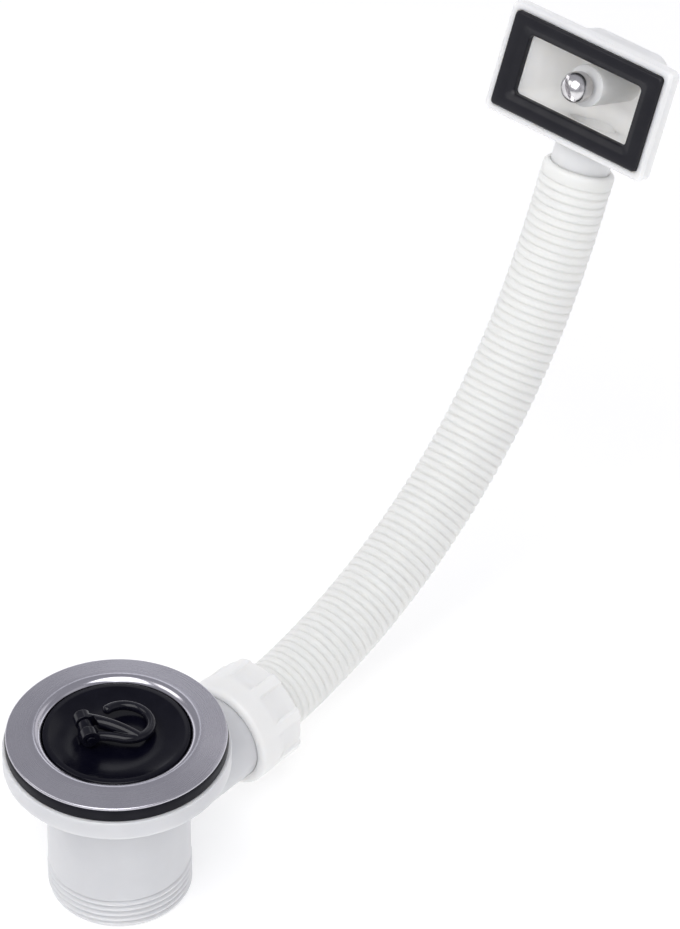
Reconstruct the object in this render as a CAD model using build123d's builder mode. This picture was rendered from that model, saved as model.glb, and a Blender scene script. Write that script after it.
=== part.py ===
from build123d import *
import os
from math import cos, radians, sin

# A bath waste with its plug, and an overflow head joined to it by a corrugated hose.
# Millimetres. Z is up along the waste's axis, and the overflow leaves the waste along +X.
# The origin is on that axis, at the underside of the steel rim, where it meets the bath.
os.makedirs("parts", exist_ok=True)

# Driving dimensions: plug and lifting hook
plug_d = 48.0
plug_height = 8.2
plug_taper = 1.0
plug_lip_height = 1.2
plug_rim_rise = 0.95
plug_rim_band = 1.9
plug_dish_depth = 1.55
plug_dish_flat = 26.0
plug_web = 2.4
plug_skirt = 2.2
plug_turn = -32.0
pivot_back = 9.7
pivot_aside = 1.0
pivot_height = 4.4
lug_width = 3.8
lug_r = 2.5
trunnion_r = 1.5
trunnion_nub = 0.7
eye_r = 3.0
eye_width = 3.6
hook_rod_r = 1.6
hook_ring_r = 8.3
hook_reach = 13.5
hook_droop = 6.6
hook_nose_angle = 122.0
hook_arm_turn = 28.0
hook_bar_angle = -74.0
hook_bar_root_r = 2.5
hook_bar_middle_r = 2.1
hook_bar_tip_r = 1.9
hook_bar_bow = 1.4

# Driving dimensions: steel flange with its strainer, and the clamp screw
sheet = 0.8
rim_d = 71.8
mouth_rise = 1.75
mouth_round = 2.2
dish_depth = 9.2
dish_taper = 0.7
dish_round = 2.4
rim_round = 0.6
strainer_holes = 8
strainer_hole_r = 3.6
strainer_pitch_share = 0.64
well_r = 7.6
well_depth = 1.8
screw_head_r = 5.6
screw_head_height = 2.8
screw_r = 3.0
screw_length = 23.0
slot_width = 1.4
slot_depth = 1.3

# Driving dimensions: washer and waste body
washer_height = 4.5
washer_proud = 0.4
washer_bore_share = 0.46
collar_proud = 1.3
collar_height = 7.0
collar_skirt = 2.6
ledge_web = 2.8
bowl_gap = 2.0
bowl_wall = 2.6
body_length = 64.4
tail_d = 47.8
tail_wall = 3.3
thread_length = 13.0
neck_relief = 0.3
neck_flare = 1.3
neck_flare_height = 10.5
rib_count = 12
rib_thickness = 1.8
spider_arms = 4
spider_arm = 2.4
spider_height = 12.0
clamp_boss_r = 6.4
clamp_boss_height = 19.0
insert_r = 4.4
insert_length = 14.0

# Driving dimensions: side port, nut and seals
port_drop = 35.5
port_d = 31.2
port_length = 39.1
nut_wall = 3.2
nut_length = 20.5
nut_end_wall = 3.0
nut_collar = 7.4
nut_grip_ramp = 4.0
nut_lugs = 8
nut_lug_width = 4.2
nut_lug_rise = 0.9
seal_length = 3.6
slip_length = 1.6

# Driving dimensions: hose, with its bends from the nut to the overflow head
hose_d = 25.2
hose_bore = 20.8
corrugation_depth = 1.0
corrugation_pitch = 3.0
hose_insert = 14.0
hose_exit_run = 0.8
first_bend_r = 80.0
first_bend_turn = 9.5
second_bend_r = 179.1
second_bend_turn = 51.8
third_bend_r = 327.0
third_bend_turn = 6.2
cuff_length = 5.0
cuff_run = 14.0
cuff_chamfer = 0.8

# Driving dimensions: overflow head
gasket_width = 62.0
gasket_height = 33.8
gasket_thick = 3.6
gasket_proud = 1.2
gasket_corner = 1.5
window_width = 47.4
window_height = 21.2
window_corner = 1.6
plate_margin = 2.8
plate_thick = 4.8
plate_corner = 2.6
plate_chamfer = 0.9
head_rise = 42.8
head_front = 17.7
head_wall = 2.0
chamber_depth = 30.0
chamber_back_width = 29.0
chamber_back_height = 31.0
chamber_back_corner = 9.0
chamber_round = 6.0
spigot_wall = 1.9
face_boss_r = 7.1
face_boss_set_back = 5.7
face_boss_rise = 1.2
face_screw_head_r = 5.3
face_screw_head_height = 7.6
face_screw_r = 3.0
face_screw_gap = 3.0
face_slot_width = 1.5
face_slot_depth = 2.8
face_slot_turn = 123.0
face_insert_r = 4.4
face_insert_set_back = 1.6
face_insert_length = 13.4

# Clearances
running_fit = 0.08
seat_gap = 0.25
moulded_gap = 0.4
thread_gap = 0.08
edge_round = 0.6

up = Vector(0, 0, 1)


def plain_ring(plane, outer_r, inner_r, length):
    """A ring with a plain bore that starts on a plane and runs along its normal."""
    with BuildPart() as ring:
        with BuildSketch(plane):
            Circle(outer_r)
            Circle(inner_r, mode=Mode.SUBTRACT)
        extrude(amount=length)
    return ring.part


def slotted_screw(seat, head_r, head_height, shank_r, length, slot, slot_deep, slot_turn):
    """A domed, slotted screw: its head stands on the seat plane, and its shank runs below it."""
    head_edge = head_height * 0.35
    with BuildPart() as screw:
        with BuildSketch(Plane(origin=seat.origin, x_dir=seat.x_dir, z_dir=-seat.y_dir)):
            with BuildLine():
                Polyline((0, head_height), (0, -length), (shank_r * 0.7, -length))
                Polyline((shank_r * 0.7, -length), (shank_r, -length + shank_r * 0.4), (shank_r, 0))
                Polyline((shank_r, 0), (head_r, 0), (head_r, head_edge))
                TangentArc((0, head_height), (head_r, head_edge), tangent=(1, 0))
            make_face()
        revolve(axis=Axis(seat.origin, seat.z_dir))
        with BuildSketch(seat.offset(head_height - slot_deep)):
            Rectangle(3 * head_r, slot, rotation=slot_turn)
        extrude(amount=slot_deep + head_height, mode=Mode.SUBTRACT)
    return screw.part


# Plug: moulded black plastic, dished on top and hollow below, with a lug and two trunnions
plug_r = plug_d / 2
plug_foot = plug_rim_rise - plug_height
plug_lip_foot = plug_rim_rise - plug_lip_height
dish_edge_r = plug_r - plug_rim_band
dish_floor_z = plug_rim_rise - plug_dish_depth
hook_dir = Vector(cos(radians(plug_turn)), sin(radians(plug_turn)), 0)
pivot_dir = up.cross(hook_dir)
pivot = hook_dir * -pivot_back + pivot_dir * pivot_aside + up * pivot_height
eye_inner = lug_width / 2 + moulded_gap
fork_r = lug_r + 4 * moulded_gap
eye_middle = eye_inner + eye_width / 2
trunnion_half = eye_inner + eye_width + trunnion_nub
pivot_plane = Plane(origin=pivot, x_dir=hook_dir, z_dir=-pivot_dir)

with BuildPart() as plug:
    with BuildSketch(Plane.XZ):
        with BuildLine():
            dish_floor = Line((0, dish_floor_z), (plug_dish_flat / 2, dish_floor_z))
            TangentArc(dish_floor @ 1, (dish_edge_r, plug_rim_rise), tangent=dish_floor % 1)
            Polyline(
                (dish_edge_r, plug_rim_rise),
                (plug_r, plug_rim_rise),
                (plug_r, plug_lip_foot),
                (plug_r - plug_taper, plug_foot),
                (plug_r - plug_taper - plug_skirt, plug_foot),
                (plug_r - plug_taper - plug_skirt, dish_floor_z - plug_web),
                (0, dish_floor_z - plug_web),
                (0, dish_floor_z),
            )
        make_face()
    revolve(axis=Axis.Z)
    rim_edge = plug.edges().filter_by(GeomType.CIRCLE).group_by(Axis.Z)[-1].sort_by(SortBy.RADIUS)[-1]
    fillet(rim_edge, edge_round)
    with BuildSketch(pivot_plane):
        with BuildLine():
            CenterArc((0, 0), lug_r, 0, 180)
            Polyline(
                (-lug_r, 0),
                (-lug_r, dish_floor_z - plug_web / 2 - pivot_height),
                (lug_r, dish_floor_z - plug_web / 2 - pivot_height),
                (lug_r, 0),
            )
        make_face()
    extrude(amount=lug_width / 2, both=True)
    with BuildSketch(pivot_plane):
        Circle(trunnion_r)
    extrude(amount=trunnion_half, both=True)
plug.part.label = "plug"
export_step(plug.part, "parts/plug.step")

# Lifting hook: moulded black plastic, an open ring with a bowed bar, on two eyes that ride the trunnions
hook_along = hook_dir * cos(radians(hook_droop)) - up * sin(radians(hook_droop))
hook_plane = Plane(origin=pivot, x_dir=hook_along, z_dir=hook_along.cross(pivot_dir))
ring_end_angle = -90.0 - hook_arm_turn
arm_sin = sin(radians(hook_arm_turn))
arm_cos = cos(radians(hook_arm_turn))
arm_r = (hook_reach - hook_ring_r * arm_sin) / arm_sin
ring_aside = -eye_middle - arm_r * (1 - arm_cos) + hook_ring_r * arm_cos
nose = Vector(
    hook_reach + hook_ring_r * cos(radians(hook_nose_angle)),
    ring_aside + hook_ring_r * sin(radians(hook_nose_angle)),
)
bar_root = Vector(0, eye_middle)
bar_tip = Vector(
    hook_reach + hook_ring_r * cos(radians(hook_bar_angle)),
    ring_aside + hook_ring_r * sin(radians(hook_bar_angle)),
)
bar_dir = hook_plane.from_local_coords(bar_tip) - hook_plane.from_local_coords(bar_root)
bar_middle = (bar_root + bar_tip) * 0.5 + Vector(0, 0, hook_bar_bow)

with BuildPart() as lifting_hook:
    with BuildLine(hook_plane) as hook_line:
        ring_arc = CenterArc(
            (hook_reach, ring_aside), hook_ring_r, hook_nose_angle, ring_end_angle - hook_nose_angle
        )
        arm_arc = JernArc(ring_arc @ 1, ring_arc % 1, arm_r, hook_arm_turn)
    with BuildSketch(Plane(origin=hook_line.wire() @ 0, z_dir=hook_line.wire() % 0)):
        Circle(hook_rod_r)
    sweep(path=hook_line.wire())
    with Locations(hook_plane.from_local_coords(nose)):
        Sphere(hook_rod_r)
    with BuildSketch(Plane(origin=hook_plane.from_local_coords(bar_root), z_dir=bar_dir)):
        Circle(hook_bar_root_r)
    with BuildSketch(Plane(origin=hook_plane.from_local_coords(bar_middle), z_dir=bar_dir)):
        Circle(hook_bar_middle_r)
    with BuildSketch(Plane(origin=hook_plane.from_local_coords(bar_tip), z_dir=bar_dir)):
        Circle(hook_bar_tip_r)
    loft()
    for side in (-1, 1):
        with BuildSketch(pivot_plane.offset(side * eye_middle)):
            Circle(eye_r)
        extrude(amount=eye_width / 2, both=True)
    with BuildSketch(pivot_plane):
        Circle(fork_r)
    extrude(amount=eye_inner, both=True, mode=Mode.SUBTRACT)
    with BuildSketch(pivot_plane):
        Circle(trunnion_r + running_fit)
    extrude(amount=trunnion_half, both=True, mode=Mode.SUBTRACT)
lifting_hook.part.label = "lifting_hook"
export_step(lifting_hook.part, "parts/lifting_hook.step")

# Waste flange: stainless sheet pressed to a domed rim and a dish, with strainer holes and a well
seat_r = plug_r + seat_gap + sheet
rim_r = rim_d / 2
dish_foot_r = seat_r - dish_taper
well_z = -dish_depth - well_depth
strainer_pitch_r = dish_foot_r * strainer_pitch_share

with BuildPart() as waste_flange:
    with BuildSketch(Plane.XZ):
        with BuildLine():
            FilletPolyline(
                (rim_r, 0),
                (seat_r, mouth_rise),
                (dish_foot_r, -dish_depth),
                (well_r, -dish_depth),
                (well_r - well_depth / 2, well_z),
                (screw_r + moulded_gap, well_z),
                radius=(mouth_round, dish_round, sheet, sheet * 1.5),
            )
            offset(amount=sheet, side=Side.RIGHT)
        make_face()
    revolve(axis=Axis.Z)
    with BuildSketch(Plane.XY.offset(-dish_depth - sheet)):
        with PolarLocations(strainer_pitch_r, strainer_holes):
            Circle(strainer_hole_r)
    extrude(amount=3 * sheet, mode=Mode.SUBTRACT)
    rim_edges = waste_flange.edges().filter_by(GeomType.CIRCLE).sort_by(SortBy.RADIUS)[-2:]
    fillet(rim_edges.sort_by(Axis.Z)[-1], rim_round)
waste_flange.part.label = "waste_flange"
export_step(waste_flange.part, "parts/waste_flange.step")

# Clamp screw: stainless, its domed head in the strainer's well, its shank in the body's insert
well_plane = Plane.XY.offset(well_z + sheet)
clamp_screw = slotted_screw(
    well_plane, screw_head_r, screw_head_height, screw_r, screw_length, slot_width, slot_depth, plug_turn
)
clamp_screw.label = "clamp_screw"
export_step(clamp_screw, "parts/clamp_screw.step")

# Flange washer: black rubber, between the bath and the body's collar
washer_r = rim_r + washer_proud
washer_bore_r = seat_r + washer_bore_share * (rim_r - seat_r)
ledge_z = -washer_height

with BuildPart() as flange_washer:
    with BuildSketch(Plane.XY.offset(ledge_z)):
        Circle(washer_r)
        Circle(washer_bore_r, mode=Mode.SUBTRACT)
    extrude(amount=washer_height)
    fillet(flange_washer.edges().filter_by(GeomType.CIRCLE).sort_by(SortBy.RADIUS)[-2:], edge_round)
flange_washer.part.label = "flange_washer"
export_step(flange_washer.part, "parts/flange_washer.step")

# Waste body: moulded white plastic, a collar and bowl on a threaded tail, with a side port
collar_r = rim_r + collar_proud
collar_foot = ledge_z - collar_height
bowl_r = seat_r + bowl_gap
hub_r = bowl_r + bowl_wall
groove_top = ledge_z - ledge_web
bowl_floor = -dish_depth - moulded_gap
tail_r = tail_d / 2
tail_bore_r = tail_r - tail_wall
neck_r = tail_r - neck_relief
boss_top = well_z - moulded_gap
port_r = port_d / 2
port_plane = Plane(origin=(0, 0, -port_drop), x_dir=(0, 1, 0), z_dir=(1, 0, 0))
port_end = tail_r + port_length
hose_r = hose_d / 2
port_bore_r = hose_bore / 2
socket_r = hose_r + running_fit
socket_start = port_end - hose_insert

with BuildPart() as waste_body:
    with BuildSketch(Plane.XY.offset(ledge_z)):
        Circle(collar_r)
    extrude(amount=-collar_height)
    fillet(waste_body.edges().group_by(Axis.Z)[0], edge_round)
    with BuildSketch(Plane.XY.offset(collar_foot)):
        Circle(collar_r - collar_skirt)
        Circle(hub_r, mode=Mode.SUBTRACT)
    extrude(amount=groove_top - collar_foot, mode=Mode.SUBTRACT)
    with BuildSketch(Plane.XY.offset(collar_foot + edge_round)):
        with PolarLocations((hub_r + collar_r - collar_skirt) / 2, rib_count):
            Rectangle(collar_r - hub_r - collar_skirt + edge_round, rib_thickness)
    extrude(amount=groove_top - collar_foot)
    with BuildSketch(Plane.XZ):
        with BuildLine():
            Polyline(
                (0, ledge_z - edge_round),
                (neck_r + neck_flare, ledge_z - edge_round),
                (neck_r + neck_flare, collar_foot),
                (neck_r, collar_foot - neck_flare_height),
                (neck_r, thread_length - body_length + neck_relief),
                (tail_r, thread_length - body_length),
                (tail_r, -body_length + edge_round),
                (tail_r - edge_round, -body_length),
                (0, -body_length),
                close=True,
            )
        make_face()
    revolve(axis=Axis.Z)
    with BuildSketch(port_plane):
        Circle(port_r)
    extrude(amount=port_end)
    with BuildSketch(Plane.XZ):
        with BuildLine():
            Polyline(
                (0, 0),
                (bowl_r, 0),
                (bowl_r, bowl_floor),
                (tail_bore_r, bowl_floor),
                (tail_bore_r, -body_length),
                (0, -body_length),
                close=True,
            )
        make_face()
    revolve(axis=Axis.Z, mode=Mode.SUBTRACT)
    with BuildSketch(port_plane):
        Circle(port_bore_r)
    extrude(amount=port_end, mode=Mode.SUBTRACT)
    with BuildSketch(port_plane.offset(socket_start)):
        Circle(socket_r)
    extrude(amount=hose_insert, mode=Mode.SUBTRACT)
    with BuildSketch(Plane.XY.offset(boss_top)):
        Circle(clamp_boss_r)
    extrude(amount=-clamp_boss_height)
    with BuildSketch(Plane.XY.offset(boss_top - edge_round)):
        with PolarLocations((tail_bore_r + clamp_boss_r) / 2, spider_arms, start_angle=45):
            Rectangle(tail_bore_r - clamp_boss_r + tail_wall, spider_arm)
    extrude(amount=-spider_height)
    with BuildSketch(Plane.XY.offset(boss_top)):
        Circle(insert_r)
    extrude(amount=-insert_length, mode=Mode.SUBTRACT)
    with BuildSketch(Plane.XY.offset(boss_top)):
        Circle(screw_r + moulded_gap)
    extrude(amount=-clamp_boss_height, mode=Mode.SUBTRACT)
waste_body.part.label = "waste_body"
export_step(waste_body.part, "parts/waste_body.step")

# Clamp insert: a brass bush moulded into the body's boss, tapped for the clamp screw
insert_foot = Plane.XY.offset(boss_top - insert_length)
clamp_insert = plain_ring(insert_foot, insert_r, screw_r + thread_gap, insert_length)
clamp_insert.label = "clamp_insert"
export_step(clamp_insert, "parts/clamp_insert.step")

# Port seal: a rubber ring round the hose, pressed against the port's mouth
with BuildPart() as port_seal:
    with BuildSketch(port_plane.offset(port_end)):
        Circle(port_r - seat_gap)
        Circle(hose_r + running_fit, mode=Mode.SUBTRACT)
    extrude(amount=seal_length)
    chamfer(port_seal.edges().group_by(Axis.X)[-1].sort_by(SortBy.RADIUS)[-1], seal_length / 3)
port_seal.part.label = "port_seal"
export_step(port_seal.part, "parts/port_seal.step")

# Slip washer: hard plastic, lets the nut turn on the seal without dragging it round
slip_start = port_end + seal_length
slip_washer = plain_ring(
    port_plane.offset(slip_start), port_r - seat_gap, hose_r + running_fit, slip_length
)
slip_washer.label = "slip_washer"
export_step(slip_washer, "parts/slip_washer.step")

# Port nut: moulded white plastic, a plain collar on the waste's side and grip lugs on the hose's
nut_end = slip_start + slip_length + nut_end_wall
nut_start = nut_end - nut_length
nut_bore_r = port_r + running_fit
nut_r = nut_bore_r + nut_wall
nut_grip_r = nut_r - nut_lug_rise

with BuildPart() as port_nut:
    with BuildSketch(port_plane.offset(nut_start)):
        Circle(nut_grip_r)
    extrude(amount=nut_length)
    with BuildSketch(port_plane.offset(nut_start)):
        Circle(nut_r)
    extrude(amount=nut_collar)
    with Locations(port_plane.offset(nut_start + nut_collar)):
        Cone(nut_r, nut_grip_r, nut_grip_ramp, align=(Align.CENTER, Align.CENTER, Align.MIN))
    fillet(port_nut.edges().group_by(Axis.X)[0], 2 * edge_round)
    with BuildSketch(port_plane.offset(nut_start + nut_collar / 2)):
        with PolarLocations(nut_r - nut_lug_rise, nut_lugs, start_angle=180 / nut_lugs):
            Rectangle(2 * nut_lug_rise, nut_lug_width)
    extrude(amount=nut_length - nut_collar / 2)
    chamfer(port_nut.edges().group_by(Axis.X)[-1], edge_round / 2)
    with BuildSketch(port_plane.offset(nut_start)):
        Circle(nut_bore_r)
    extrude(amount=nut_length - nut_end_wall, mode=Mode.SUBTRACT)
    with BuildSketch(port_plane.offset(nut_start)):
        Circle(hose_r + moulded_gap)
    extrude(amount=nut_length, mode=Mode.SUBTRACT)
port_nut.part.label = "port_nut"
export_step(port_nut.part, "parts/port_nut.step")

# Overflow hose: blown plastic, plain at both ends and ringed with corrugations between them
root_r = hose_r - corrugation_depth
with BuildLine(Plane.XZ) as hose_line:
    entry = Line((socket_start, -port_drop), (nut_end + hose_exit_run, -port_drop))
    first_bend = JernArc(entry @ 1, entry % 1, first_bend_r, first_bend_turn)
    second_bend = JernArc(first_bend @ 1, first_bend % 1, second_bend_r, second_bend_turn)
    third_bend = JernArc(second_bend @ 1, second_bend % 1, third_bend_r, third_bend_turn)
    spigot_foot = third_bend @ 1
    cuff = Line(spigot_foot, spigot_foot + (third_bend % 1) * cuff_run)
hose_path = hose_line.wire()
hose_length = hose_path.length
rings_start = nut_end - socket_start + moulded_gap
rings_length = hose_length - cuff_length - rings_start
ring_count = round(rings_length / corrugation_pitch)
half_pitch = rings_length / ring_count / 2


def across_hose(along):
    """The plane square to the hose at a distance along it, with its x direction kept level."""
    return Plane(
        origin=hose_path.position_at(along, PositionMode.LENGTH),
        x_dir=(0, 1, 0),
        z_dir=hose_path.tangent_at(along, PositionMode.LENGTH),
    )


with BuildPart() as overflow_hose:
    with BuildSketch(across_hose(0)):
        Circle(hose_r)
    with BuildSketch(across_hose(rings_start - half_pitch)):
        Circle(hose_r)
    for step in range(2 * ring_count + 1):
        with BuildSketch(across_hose(rings_start + step * half_pitch)):
            Circle(hose_r if step % 2 else root_r)
    with BuildSketch(across_hose(hose_length - cuff_length + half_pitch)):
        Circle(hose_r)
    with BuildSketch(across_hose(hose_length - cuff_chamfer)):
        Circle(hose_r)
    with BuildSketch(across_hose(hose_length)):
        Circle(hose_r - cuff_chamfer)
    loft(ruled=True)
    with BuildSketch(across_hose(0)):
        Circle(hose_bore / 2)
    sweep(path=hose_path, mode=Mode.SUBTRACT)
overflow_hose.part.label = "overflow_hose"
export_step(overflow_hose.part, "parts/overflow_hose.step")

# Overflow body: moulded white plastic, a plate with a window, a chamber behind it and a spigot
spigot_dir = cuff % 1
face_dir = Vector(-spigot_dir.Z, 0, spigot_dir.X)
face_centre = spigot_foot + spigot_dir * head_rise + face_dir * head_front
face_plane = Plane(origin=face_centre, x_dir=(0, -1, 0), z_dir=face_dir)
plate_plane = face_plane.offset(-gasket_proud)
plate_width = gasket_width + 2 * plate_margin
plate_height = gasket_height + 2 * plate_margin
spigot_r = hose_bore / 2 - running_fit
spigot_bore_r = spigot_r - spigot_wall
chamber_back_plane = face_plane.offset(-chamber_depth)
spigot_plane = Plane(origin=spigot_foot, x_dir=(0, -1, 0), z_dir=spigot_dir)
boss_centre = face_centre + spigot_dir * face_boss_rise - face_dir * face_boss_set_back
boss_plane = Plane(origin=boss_centre, x_dir=(0, -1, 0), z_dir=face_dir)
insert_plane = boss_plane.offset(-face_insert_set_back)


def head_chamber(front, wall):
    """The chamber from the window back to its rounded end, grown all round by a wall."""
    with BuildPart() as chamber:
        with BuildSketch(front):
            RectangleRounded(window_width + 2 * wall, window_height + 2 * wall, window_corner + wall)
        with BuildSketch(chamber_back_plane.offset(-wall)):
            RectangleRounded(
                chamber_back_width + 2 * wall, chamber_back_height + 2 * wall, chamber_back_corner + wall
            )
        loft()
        fillet(chamber.faces().sort_by(Axis((0, 0, 0), face_dir))[0].edges(), chamber_round + wall)
    return chamber.part


with BuildPart() as overflow_body:
    with BuildSketch(plate_plane):
        RectangleRounded(plate_width, plate_height, plate_corner)
    extrude(amount=-plate_thick)
    chamfer(overflow_body.faces().sort_by(Axis((0, 0, 0), face_dir))[-1].edges(), plate_chamfer)
    add(head_chamber(plate_plane.offset(-plate_thick / 2), head_wall))
    with BuildSketch(spigot_plane):
        Circle(spigot_r)
    extrude(amount=head_rise - window_height / 2)
    with BuildSketch(plate_plane):
        RectangleRounded(gasket_width + 2 * seat_gap, gasket_height + 2 * seat_gap, gasket_corner)
    extrude(amount=gasket_proud - gasket_thick, mode=Mode.SUBTRACT)
    add(head_chamber(plate_plane, 0), mode=Mode.SUBTRACT)
    with BuildSketch(spigot_plane):
        Circle(spigot_bore_r)
    extrude(amount=head_rise - face_boss_r, mode=Mode.SUBTRACT)
    with BuildSketch(boss_plane):
        Circle(face_boss_r)
    extrude(amount=face_boss_set_back - chamber_depth - head_wall / 2)
    with BuildSketch(insert_plane):
        Circle(face_insert_r)
    extrude(amount=-face_insert_length, mode=Mode.SUBTRACT)
    with BuildSketch(boss_plane):
        Circle(face_screw_r + moulded_gap)
    extrude(amount=-face_insert_set_back - face_insert_length - head_wall, mode=Mode.SUBTRACT)
overflow_body.part.label = "overflow_body"
export_step(overflow_body.part, "parts/overflow_body.step")

# Overflow gasket: a black rubber frame in the plate's recess, proud of it to meet the bath
with BuildPart() as overflow_gasket:
    with BuildSketch(face_plane):
        RectangleRounded(gasket_width, gasket_height, gasket_corner)
        RectangleRounded(window_width, window_height, window_corner, mode=Mode.SUBTRACT)
    extrude(amount=-gasket_thick)
overflow_gasket.part.label = "overflow_gasket"
export_step(overflow_gasket.part, "parts/overflow_gasket.step")

# Overflow insert: a brass bush moulded into the head's boss behind its face, tapped for the face screw
face_insert_foot = insert_plane.offset(-face_insert_length)
overflow_insert = plain_ring(
    face_insert_foot, face_insert_r, face_screw_r + thread_gap, face_insert_length
)
overflow_insert.label = "overflow_insert"
export_step(overflow_insert, "parts/overflow_insert.step")

# Overflow screw: plated steel, domed and slotted, left part driven until a face plate goes on
overflow_screw = slotted_screw(
    boss_plane.offset(face_screw_gap),
    face_screw_head_r,
    face_screw_head_height,
    face_screw_r,
    face_screw_gap + face_insert_set_back + face_insert_length,
    face_slot_width,
    face_slot_depth,
    face_slot_turn,
)
overflow_screw.label = "overflow_screw"
export_step(overflow_screw, "parts/overflow_screw.step")
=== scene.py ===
import bmesh
import bpy
import numpy as np
from mathutils import Matrix


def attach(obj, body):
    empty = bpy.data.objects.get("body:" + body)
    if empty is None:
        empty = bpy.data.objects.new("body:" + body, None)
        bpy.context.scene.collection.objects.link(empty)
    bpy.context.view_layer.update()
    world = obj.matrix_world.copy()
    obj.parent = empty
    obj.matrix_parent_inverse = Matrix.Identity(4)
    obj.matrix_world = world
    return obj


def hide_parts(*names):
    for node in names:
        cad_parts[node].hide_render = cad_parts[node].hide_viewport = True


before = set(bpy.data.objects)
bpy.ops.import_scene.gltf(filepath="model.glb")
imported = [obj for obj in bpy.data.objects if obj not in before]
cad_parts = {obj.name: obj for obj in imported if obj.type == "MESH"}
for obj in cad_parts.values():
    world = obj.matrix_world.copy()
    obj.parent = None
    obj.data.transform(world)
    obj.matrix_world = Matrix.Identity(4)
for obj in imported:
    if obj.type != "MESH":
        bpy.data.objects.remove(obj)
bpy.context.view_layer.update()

# Camera: a long lens that looks down on the waste from its front left, a metre and a half away,
# so that the overflow head stands behind it at the top right of the picture.
mm = 0.001
camera_fall, camera_turn, camera_roll = np.radians([39.219, 49.622, 0.739])
aim_right, aim_up, aim_rise, camera_distance = 71.09, 87.56, 0.8, 1500.0
camera_right = np.array([np.cos(camera_turn), -np.sin(camera_turn), 0.0])
camera_back = np.array([0.0, 0.0, np.sin(camera_fall)])
camera_back[:2] = -np.cos(camera_fall) * np.array([np.sin(camera_turn), np.cos(camera_turn)])
camera_up = np.cross(camera_back, camera_right)
camera_place = aim_right * camera_right + aim_up * camera_up + camera_distance * camera_back
camera_place[2] += aim_rise
camera_pose = np.eye(4)
camera_pose[:3, 0] = np.cos(camera_roll) * camera_right + np.sin(camera_roll) * camera_up
camera_pose[:3, 1] = np.cos(camera_roll) * camera_up - np.sin(camera_roll) * camera_right
camera_pose[:3, 2] = camera_back
camera_pose[:3, 3] = camera_place * mm
camera_lens = bpy.data.cameras.new("camera")
camera_lens.lens = 179.9
camera = bpy.data.objects.new("camera", camera_lens)
bpy.context.collection.objects.link(camera)
camera.matrix_world = Matrix(camera_pose.tolist())
bpy.context.scene.camera = camera


# Waste body: one white polypropylene moulding. A collar with a ribbed groove under it carries the
# washer, a bowl takes the strainer, and a tail with a moulded pipe thread runs down to the trap.
# A side port leaves the tail, and a spider inside the bore holds the boss of the clamp screw.
def round_off(corners, radii, steps=5):
    """Rounds a profile: each inner corner becomes an arc of its radius that touches both its sides."""
    corners = np.asarray(corners, float)
    run = [corners[:1]]
    for before, corner, after, radius in zip(corners[:-2], corners[1:-1], corners[2:], radii):
        back = (before - corner) / np.linalg.norm(before - corner)
        on = (after - corner) / np.linalg.norm(after - corner)
        half = np.arccos(np.clip(back @ on, -1.0, 1.0)) / 2
        centre = corner + (back + on) / np.linalg.norm(back + on) * radius / np.sin(half)
        spokes = np.array([corner + side * radius / np.tan(half) - centre for side in (back, on)])
        first, last = np.unwrap(np.arctan2(spokes[:, 1], spokes[:, 0]))
        sweep = np.linspace(first, last, steps + 1 if radius else 1)
        run.append(centre + radius * np.stack([np.cos(sweep), np.sin(sweep)], axis=-1))
    return np.concatenate(run + [corners[-1:]])


def turned(profile, angles):
    """Turns a profile of radius and height about Z: x = r cos a, y = r sin a, and z = the height."""
    radius, height = np.asarray(profile, float).T[:, :, None]
    return np.stack([radius * np.cos(angles), radius * np.sin(angles), height + 0 * angles], axis=-1)


weld = 0.002 * mm


def make_piece(name, sheets, node, finish, body="waste", crease=32, marks=None):
    """Joins grids of points, in millimetres, into one closed mesh that rides on a body for a CAD node."""
    points = np.concatenate([np.asarray(sheet, float).reshape(-1, 3) for sheet in sheets]) * mm
    quads = []
    start = 0
    for sheet in sheets:
        rows, columns = sheet.shape[:2]
        corner = start + np.arange(rows * columns).reshape(rows, columns)
        ring = [corner[:-1, :-1], corner[:-1, 1:], corner[1:, 1:], corner[1:, :-1]]
        quads.append(np.stack(ring, axis=-1).reshape(-1, 4))
        start += rows * columns
    mesh = bpy.data.meshes.new(name)
    mesh.from_pydata(points.tolist(), [], np.concatenate(quads).tolist())
    for mark, values in (marks or {}).items():
        mesh.attributes.new(mark, "FLOAT", "POINT").data.foreach_set("value", np.ravel(values))
    shaped = bmesh.new()
    shaped.from_mesh(mesh)
    bmesh.ops.remove_doubles(shaped, verts=shaped.verts, dist=weld)
    bmesh.ops.recalc_face_normals(shaped, faces=shaped.faces)
    shaped.to_mesh(mesh)
    shaped.free()
    mesh.shade_smooth()
    mesh.set_sharp_from_angle(angle=np.radians(crease))
    mesh.materials.append(finish)
    piece = bpy.data.objects.new(name, mesh)
    bpy.context.collection.objects.link(piece)
    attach(piece, body)
    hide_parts(node)
    return piece


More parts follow.
